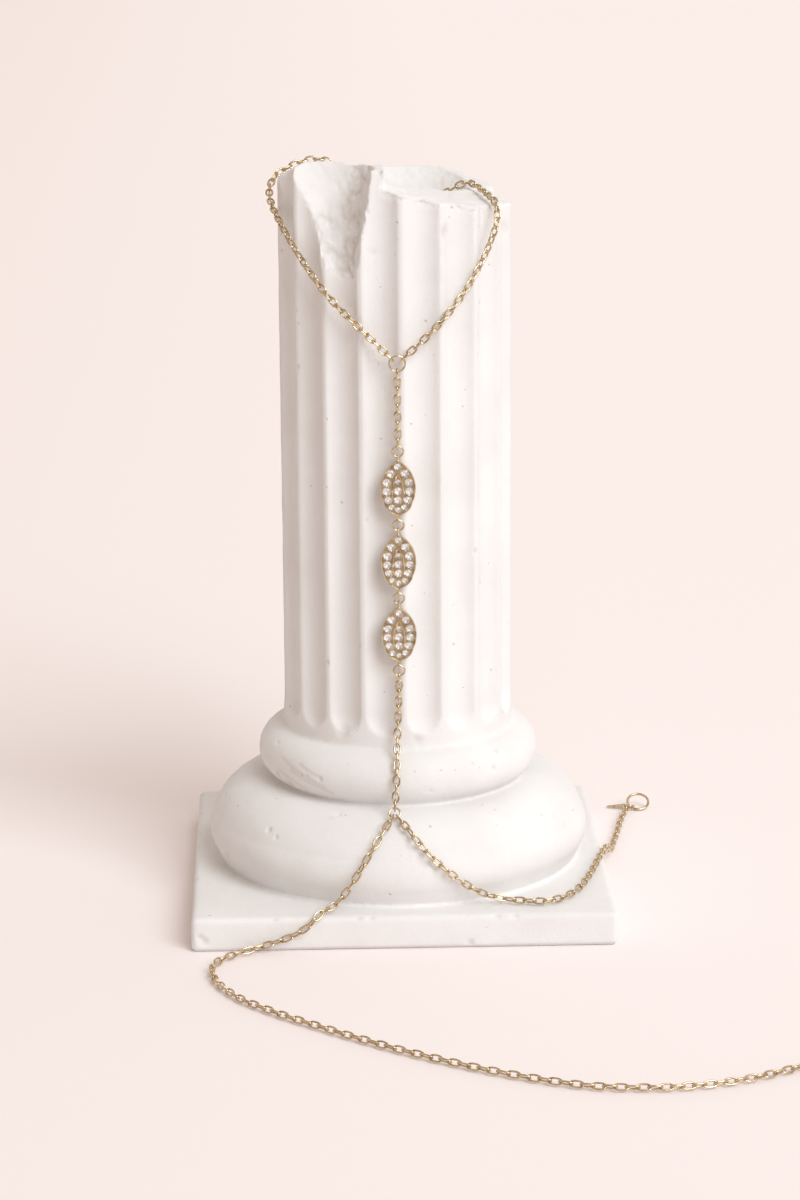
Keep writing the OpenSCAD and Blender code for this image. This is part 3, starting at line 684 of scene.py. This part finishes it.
LEFT_ROUTE = [
    (-3.9, -38.6, 25.0), (-6.2, -40.9, 21.8), (-8.6, -42.4, 18.4), (-11.0, -43.0, 14.4),
    (-13.4, -42.6, 10.8), (-15.7, -43.4, 8.9), (-17.7, -45.6, 8.8), (-19.5, -47.1, 7.4),
    (-21.5, -47.3, 5.4), (-25.6, -47.2, 3.3), (-31.0, -47.6, 1.7), (-36.0, -49.6, 1.05),
    (-39.4, -53.0, 1.05), (-41.2, -57.2, 1.05), (-41.2, -62.0, 1.05), (-39.6, -68.4, 1.05),
    (-35.4, -76.5, 1.05), (-30.6, -82.2, 1.05), (-25.2, -87.8, 1.05), (-19.2, -93.2, 1.05),
    (-12.2, -99.4, 1.05), (0.1, -109.2, 1.05), (15.8, -119.5, 1.05), (31.6, -127.0, 1.05),
    (44.0, -129.0, 1.05), (54.0, -128.4, 1.05), (64.5, -125.4, 1.05), (75.0, -119.9, 1.05),
    (85.0, -113.4, 1.05),
]


def ring_joint(at, r, tilt, angle):
    """Where a link holds a ring: just inside its wire, at an angle in its plane."""
    tilt, angle = math.radians(tilt), math.radians(angle)
    r -= RING_JOINT_IN
    way = (math.cos(angle), math.sin(angle) * math.sin(tilt), math.sin(angle) * math.cos(tilt))
    return tuple(at[i] + r * way[i] for i in range(3))


def smooth_curve(chosen, steps=8):
    """Catmull-Rom curve through the chosen points."""
    p = np.array([chosen[0], *chosen, chosen[-1]], float)
    found = []
    for i in range(1, len(p) - 2):
        a, b, c, d = p[i - 1:i + 3]
        for t in np.arange(steps) / steps:
            found.append(0.5 * (2 * b + (c - a) * t + (2 * a - 5 * b + 4 * c - d) * t * t
                                + (3 * b - a - 3 * c + d) * t ** 3))
    return np.array([*found, p[-1]])


def equal_joints(route, pitch):
    """Points that divide a curve into an odd number of equal links."""
    q = smooth_curve(route)
    run = np.concatenate([[0], np.linalg.norm(np.diff(q, axis=0), axis=1).cumsum()])
    count = 2 * math.ceil((run[-1] / pitch - 1) / 2) + 1
    at = np.linspace(0, run[-1], count + 1)
    return np.stack([np.interp(at, run, q[:, k]) for k in range(3)], 1)


def facing(p):
    """The way out of what a strand lies on: up on flat ground, sideways on the mouldings."""
    out = math.hypot(p[0], p[1])
    rise = 1 - ramp(LIES_FLAT_TO, COLLAR_TOP, p[2])
    side = ramp(*LEANS_OUT, p[2]) / max(1, out)
    return Vector((p[0] * side, p[1] * side, rise + 0.001)).normalized()


def link_matrix(a, b, roll):
    """Frame of a link from joint to joint: its length, its width and its face."""
    a, b = Vector(a), Vector(b)
    along = (b - a).normalized()
    middle = (a + b) / 2
    out = facing(middle)
    out = (out - out.dot(along) * along).normalized()
    side = out.cross(along)
    roll = math.radians(roll)
    wide = math.cos(roll) * side + math.sin(roll) * out
    face = along.cross(wide)
    return Matrix((along, wide, face)).transposed().to_4x4(), middle


def link_roll(k, count, lay):
    """End links stand across their rings, and a few links on the strand lies at its own roll."""
    ease = max(0, 1 - min(k, count - 1 - k) / EASE_LINKS)
    return lay + (90 - lay) * ease + 90 * (k % 2)


def chain_object(name, joints, lay, material):
    """All links of a strand as one mesh."""
    shape, quads = link_shape(LINK_L, LINK_W, WIRE_D)
    count = len(joints) - 1
    points, faces = [], []
    for k in range(count):
        frame_of_link, middle = link_matrix(joints[k], joints[k + 1], link_roll(k, count, lay))
        turned = shape @ np.array(frame_of_link.to_3x3()).T + np.array(middle)
        points.append(turned * MM)
        faces.append(quads + k * len(shape))
    return mesh_object(name, np.concatenate(points), np.concatenate(faces).tolist(), material)


left_joints = equal_joints(
    [ring_joint(FORK_AT, JUMP_RING_R, FORK_TILT, FORK_ANGLE), *LEFT_ROUTE,
     ring_joint(CLASP_RING_AT, JUMP_RING_R, CLASP_RING_TILT, 180 + CLASP_TURN)],
    LINK_PITCH,
)
left_links = chain_object("left_strand_links", left_joints, FLOOR_ROLL, gold)
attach(left_links, "root")
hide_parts("left_chain")


# Leaf plaques: cast gold plates with a thin raised rim and a pointed arch across the field, whose gold is
# darkened by painted shade. Fifteen seats are drilled in each, and small gold beads are raised from the
# field between them to hold the stones. A wire loop is soldered across each tip.
PLAQUE_H = 12.2
PLAQUE_W = 7.6
BELLY_R = 3.1
BELLY_DROP = PLAQUE_H / 2 - BELLY_R - 0.4
LEAF_R = (PLAQUE_H ** 2 + PLAQUE_W ** 2) / (4 * PLAQUE_W)
LEAF_MIDDLE = -0.6
RIM_W = 0.28
FIELD_AT = 0.35
PLATE_STEPS = 112
PLATE_SECTION = [
    # inset and height, from the back edge round the side and over the rim down to the field
    (0.14, -0.65), (0.04, -0.61), (0, -0.50), (0, 0.50), (0.03, 0.60), (0.09, 0.65),
    (0.16, 0.65), (0.22, 0.60), (RIM_W, 0.50), (RIM_W + 0.03, FIELD_AT),
]
# the field's gold, darkened by painted shade
FIELD_GOLD_IN_PAINTED_SHADE = (0.50, 0.365, 0.205, 1)
FIELD_GOLD_IN_PAINTED_SHADE_DEEP = (0.33, 0.23, 0.12, 1)
ARCH_W = 0.44
ARCH_PROUD = 0.40
ARCH_TOP = 0.58 * PLAQUE_H / 2
ARCH_FOOT = -0.40 * PLAQUE_H / 2
ARCH_HALF_W = 0.38 * PLAQUE_W / 2
ARCH_REACH = ARCH_TOP + 0.16 * PLAQUE_H / 2
ARCH_LIFT = 0.03
ARCH_END = 0.55
ARCH_STEPS = 15
ARCH_SIDES = 10
SEAT_GAP = 0.02
SEAT_POINT_R = 0.16
SEAT_DEPTH = 0.70
DRILL_TOP = 1.0
DRILL_SIDES = 20
BEAD_R = 0.16
BEAD_AT = 0.10
BEAD_PROUD = 0.17
BEAD_BITE = 0.02
BEAD_IN = 0.10
LOOP_R = 0.53
LOOP_WIRE = 0.19
LOOP_OUT = 0.80
LOOP_STEPS = 28
LOOP_SIDES = 12
SOLDER = [(LOOP_R + 0.04, 0.15), (LOOP_R + 0.12, 0.22), (LOOP_R + 0.30, 0.30), (LOOP_R + 0.8, 0.42)]
SHARP_ANGLE = math.radians(38)
STONE_PLACES = [
    # across and up as shares of half the width and half the height, radius
    (0, 0.77, 0.88), (0.40, 0.53, 0.95), (0.62, 0.21, 0.97), (0.64, -0.11, 0.97), (0.55, -0.42, 0.90),
    (0.36, -0.68, 0.74), (0, -0.77, 0.68), (-0.36, -0.68, 0.74), (-0.55, -0.42, 0.90), (-0.64, -0.11, 0.97),
    (-0.62, 0.21, 0.97), (-0.40, 0.53, 0.95), (0, 0.22, 0.72), (0, -0.10, 0.97), (0, -0.42, 0.92),
]
stone_spots = [(across * PLAQUE_W / 2, rise * PLAQUE_H / 2, r) for across, rise, r in STONE_PLACES]


def in_leaf(x, v, inset):
    """Whether a point is inside the leaf's outline, drawn in by an inset."""
    side = LEAF_R - PLAQUE_W / 2
    arcs = math.hypot(abs(x) + side, v) <= LEAF_R - inset
    return arcs or math.hypot(x, v + BELLY_DROP) <= BELLY_R - inset


def leaf_reach(angle, inset):
    """Distance from the leaf's middle to its outline in one direction."""
    inside, outside = 0.0, PLAQUE_H
    for _ in range(28):
        middle = (inside + outside) / 2
        x, v = middle * math.cos(angle), LEAF_MIDDLE + middle * math.sin(angle)
        inside, outside = (middle, outside) if in_leaf(x, v, inset) else (inside, middle)
    return inside


def stacked_rings(rings, closed=False):
    """Faces of a skin over equal rings of points, with both ends filled unless the skin is closed."""
    sides = len(rings[0])
    faces = []
    for i in range(len(rings) - (0 if closed else 1)):
        for k in range(sides):
            j, n = (i + 1) % len(rings), (k + 1) % sides
            faces.append((i * sides + k, i * sides + n, j * sides + n, j * sides + k))
    if not closed:
        faces += [tuple(reversed(range(sides))), tuple((len(rings) - 1) * sides + k for k in range(sides))]
    return [p for ring in rings for p in ring], faces


def leaf_plate():
    """Plate with eased edges, the rim round its field and the field itself. Its front is towards -Y."""
    rings = []
    for inset, height in PLATE_SECTION:
        ring = []
        for k in range(PLATE_STEPS):
            angle = 2 * math.pi * k / PLATE_STEPS + math.pi / 2
            reach = leaf_reach(angle, inset)
            ring.append((reach * math.cos(angle), -height, LEAF_MIDDLE + reach * math.sin(angle)))
        rings.append(ring)
    return stacked_rings(rings)


def seat_cones():
    """The drills that cut the seats, a cone at each stone."""
    points, faces = [], []
    turns = [2 * math.pi * k / DRILL_SIDES for k in range(DRILL_SIDES)]
    for x, v, stone_r in stone_spots:
        rings = []
        wide = stone_r + SEAT_GAP
        for r, height in ((SEAT_POINT_R, FIELD_AT - SEAT_DEPTH), (wide, FIELD_AT), (wide, DRILL_TOP)):
            rings.append([(x + r * math.cos(a), -height, v + r * math.sin(a)) for a in turns])
        more, skin = stacked_rings(rings)
        faces += [tuple(i + len(points) for i in face) for face in skin]
        points += more
    return points, faces


def arch_ridge():
    """The raised arch, a half-round ridge that runs up one side to its point and down the other."""
    arc_r = (ARCH_REACH ** 2 + ARCH_HALF_W ** 2) / (2 * ARCH_HALF_W)
    low = ARCH_TOP - ARCH_REACH
    inner = arc_r - ARCH_W / 2
    shift = arc_r - ARCH_HALF_W
    peak = low + math.sqrt(inner ** 2 - shift ** 2)
    heights = np.linspace(ARCH_FOOT, peak, ARCH_STEPS)
    half = [(math.sqrt(inner ** 2 - (v - low) ** 2) - shift, v) for v in heights]
    way = half[:-1] + [(0.0, peak)] + [(-x, v) for x, v in reversed(half[:-1])]
    rings = []
    for i, (x, v) in enumerate(way):
        before, after = way[max(0, i - 1)], way[min(len(way) - 1, i + 1)]
        run = Vector((after[0] - before[0], after[1] - before[1])).normalized()
        ease = ARCH_END if i in (0, len(way) - 1) else 1.0
        ring = []
        for k in range(ARCH_SIDES):
            a = 2 * math.pi * k / ARCH_SIDES
            wide, proud = ARCH_W / 2 * ease * math.cos(a), ARCH_PROUD * ease * math.sin(a)
            ring.append((x - run.y * wide, -(FIELD_AT + ARCH_LIFT + proud), v + run.x * wide))
        rings.append(ring)
    return stacked_rings(rings)


def bead_spots():
    """Places beside each pair of neighbouring stones where a bead touches both."""
    found = []
    for i, (ax, av, a_r) in enumerate(stone_spots):
        for bx, bv, b_r in stone_spots[i + 1:]:
            apart = math.dist((ax, av), (bx, bv))
            near_r, far_r = a_r + 0.5 * BEAD_R, b_r + 0.5 * BEAD_R
            if apart > near_r + far_r + BEAD_R:
                continue
            along = (apart ** 2 + near_r ** 2 - far_r ** 2) / (2 * apart)
            away = math.sqrt(max(0.0, near_r ** 2 - along ** 2))
            run = ((bx - ax) / apart, (bv - av) / apart)
            for side in (1, -1):
                spot = (ax + along * run[0] + side * away * run[1],
                        av + along * run[1] - side * away * run[0])
                free = all(math.dist(spot, c[:2]) > c[2] - BEAD_BITE for c in stone_spots)
                alone = all(math.dist(spot, c) > 1.5 * BEAD_R for c in found)
                if free and alone and in_leaf(spot[0], spot[1], BEAD_IN):
                    found.append(spot)
    return found


def tip_loops():
    """The wire loop across each tip, with the solder that holds it."""
    shapes = []
    for end in (1, -1):
        middle = end * (PLAQUE_H / 2 + LOOP_OUT)
        rings = []
        turns = [2 * math.pi * k / LOOP_SIDES for k in range(LOOP_SIDES)]
        for i in range(LOOP_STEPS):
            a = 2 * math.pi * i / LOOP_STEPS
            ring = []
            for c in turns:
                r = LOOP_R + LOOP_WIRE * math.cos(c)
                ring.append((LOOP_WIRE * math.sin(c), r * math.cos(a), middle + r * math.sin(a)))
            rings.append(ring)
        shapes.append(stacked_rings(rings, closed=True))
        stem = []
        for height, r in SOLDER:
            stem.append([(r * math.cos(c), r * math.sin(c), middle - end * height) for c in turns])
        shapes.append(stacked_rings(stem))
    return shapes


def mesh_of(name, shapes):
    """One mesh of several closed shapes in millimetres, with its faces turned outwards."""
    build = bmesh.new()
    for points, faces in shapes:
        corners_here = [build.verts.new(Vector(p) * MM) for p in points]
        for face in faces:
            build.faces.new([corners_here[i] for i in face])
    bmesh.ops.recalc_face_normals(build, faces=build.faces)
    mesh = bpy.data.meshes.new(name)
    build.to_mesh(mesh)
    build.free()
    return mesh


def bead_shape(x, v):
    """One raised bead."""
    build = bmesh.new()
    bmesh.ops.create_icosphere(build, subdivisions=2, radius=1)
    points = [(x + BEAD_R * p.co.x, -(FIELD_AT + BEAD_AT + BEAD_PROUD * p.co.y), v + BEAD_R * p.co.z)
              for p in build.verts]
    faces = [tuple(c.index for c in face.verts) for face in build.faces]
    build.free()
    return points, faces


def plaque_mesh():
    """A finished plaque round its own middle: the drilled plate with its arch, beads and loops."""
    plate = linked("plate", mesh_of("plate", [leaf_plate()]))
    drills = linked("drills", mesh_of("drills", [seat_cones()]))
    drilled = plate.modifiers.new("seats", "BOOLEAN")
    drilled.operation = "DIFFERENCE"
    drilled.solver = "EXACT"
    drilled.use_self = True
    drilled.object = drills
    mesh = applied(plate)
    build = bmesh.new()
    build.from_mesh(mesh)
    for face in build.faces:
        middle = face.calc_center_median() / MM
        # the field's faces take the second material, gold darkened by painted shade
        face.material_index = int(middle.y > -FIELD_AT - 0.01 and face.normal.y < -0.1)
    extras = mesh_of("extras", [arch_ridge(), *tip_loops(), *(bead_shape(*spot) for spot in bead_spots())])
    build.from_mesh(extras)
    build.to_mesh(mesh)
    build.free()
    bpy.data.objects.remove(drills)
    bpy.data.objects.remove(plate)
    mesh.set_sharp_from_angle(angle=SHARP_ANGLE)
    return mesh


def middle_of(node):
    """Middle of a node's box."""
    low_corner, high_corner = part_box(node)
    return (Vector(low_corner) + Vector(high_corner)) / 2


cast_gold = gold_material("champagne_gold_cast", rub_size=0.0005, rub_depth=0.000010, gloss=(0.14, 0.34))
# the field's gold, darkened by painted shade between the stones
painted_shade_field_gold = gold_material("gold_field_in_painted_shade", rub_size=0.0003, rub_depth=0.000012, gloss=(0.25, 0.45),
                           tones=(FIELD_GOLD_IN_PAINTED_SHADE_DEEP, FIELD_GOLD_IN_PAINTED_SHADE))
plaque_shape = plaque_mesh()
for k in (1, 2, 3):
    mesh = plaque_shape.copy()
    mesh.transform(Matrix.Translation(middle_of(f"plaque_{k}")))
    mesh.materials.append(cast_gold)
    mesh.materials.append(painted_shade_field_gold)
    plate = linked(f"leaf_plaque_{k}", mesh)
    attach(plate, "root")
    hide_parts(f"plaque_{k}")


# Stones: round brilliants of clear crystal, foiled on the back so that they throw the light forward, each
# in its seat with the girdle level with the field.
CRYSTAL = (1.0, 0.985, 0.975, 1)
FOIL = (1.0, 0.985, 0.98, 1)
TABLE_SHARE = 0.55
CROWN_SHARE = 0.32
GIRDLE_SHARE = 0.06
PAVILION_SHARE = 0.76
STAR_R = 0.79
STAR_RISE = 0.58
HALF_R = 0.26
HALF_DROP = 0.70
HALF_FACET = 22.5
STONE_TILT = 4


def brilliant():
    """Points, faces and back faces of a round brilliant of radius one, its table towards -Y."""
    def round_points(count, start, r, out):
        return [(r * math.cos(math.radians(start + i * 360 / count)), -out,
                 r * math.sin(math.radians(start + i * 360 / count))) for i in range(count)]

    points = (round_points(8, 0, TABLE_SHARE, GIRDLE_SHARE + CROWN_SHARE)
              + round_points(8, HALF_FACET, STAR_R, GIRDLE_SHARE + CROWN_SHARE * STAR_RISE)
              + round_points(16, 0, 1.0, GIRDLE_SHARE)
              + round_points(16, 0, 1.0, 0)
              + round_points(8, HALF_FACET, HALF_R, -PAVILION_SHARE * HALF_DROP)
              + [(0, PAVILION_SHARE, 0)])
    table, star, upper, lower, half, culet = 0, 8, 16, 32, 48, 56
    crown, back = [tuple(range(8))], []
    for i in range(8):
        n, g = (i + 1) % 8, 2 * i
        crown.append((table + i, table + n, star + i))
        crown.append((table + i, star + (i - 1) % 8, upper + g, star + i))
        crown.append((star + i, upper + g, upper + g + 1))
        crown.append((star + i, upper + g + 1, upper + (g + 2) % 16))
        back.append((culet, half + (i - 1) % 8, lower + g, half + i))
        back.append((half + i, lower + g, lower + g + 1))
        back.append((half + i, lower + g + 1, lower + (g + 2) % 16))
    for g in range(16):
        crown.append((upper + g, upper + (g + 1) % 16, lower + (g + 1) % 16, lower + g))
    return points, crown, back


def crystal_material():
    """Clear crystal, polished but for a breath of wear."""
    made, tree, shader = new_material("clear_crystal")
    grain = add_grain(tree, shader, cloud=0.002, grain=0.0006, height=0.0000004)
    vary(tree, grain.outputs["Clouds"], 0.0, 0.05, shader.inputs["Roughness"])
    shader.inputs["Base Color"].default_value = CRYSTAL
    shader.inputs["Transmission Weight"].default_value = 1.0
    shader.inputs["IOR"].default_value = 1.65
    return made


def foil_material():
    """The thin bright metal on the stones' backs."""
    made, tree, shader = new_material("stone_foil")
    grain = add_grain(tree, shader, cloud=0.001, grain=0.0004, height=0.0000004)
    vary(tree, grain.outputs["Grain"], 0.14, 0.34, shader.inputs["Roughness"])
    shader.inputs["Base Color"].default_value = FOIL
    shader.inputs["Metallic"].default_value = 1.0
    return made


crystal, foil = crystal_material(), foil_material()
for k in (1, 2, 3):
    middle = middle_of(f"plaque_{k}")
    chance = random.Random(k)
    points, front_faces, back_faces = brilliant()
    shapes, backs = [], []
    for x, v, stone_r in stone_spots:
        spin = Matrix.Rotation(chance.uniform(0, math.pi / 4), 3, "Y")
        tilt = Matrix.Rotation(math.radians(chance.uniform(-STONE_TILT, STONE_TILT)), 3, "X")
        tilt = tilt @ Matrix.Rotation(math.radians(chance.uniform(-STONE_TILT, STONE_TILT)), 3, "Z")
        placed = [stone_r * (tilt @ spin @ Vector(p)) + Vector((x, -FIELD_AT, v)) for p in points]
        shapes.append((placed, front_faces + back_faces))
        backs += [False] * len(front_faces) + [True] * len(back_faces)
    mesh = mesh_of(f"set_stones_{k}", shapes)
    mesh.transform(Matrix.Translation(middle))
    mesh.materials.append(crystal)
    mesh.materials.append(foil)
    mesh.polygons.foreach_set("material_index", [int(b) for b in backs])
    stones = linked(f"set_stones_{k}", mesh)
    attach(stones, "root")
    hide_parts(f"stones_{k}")
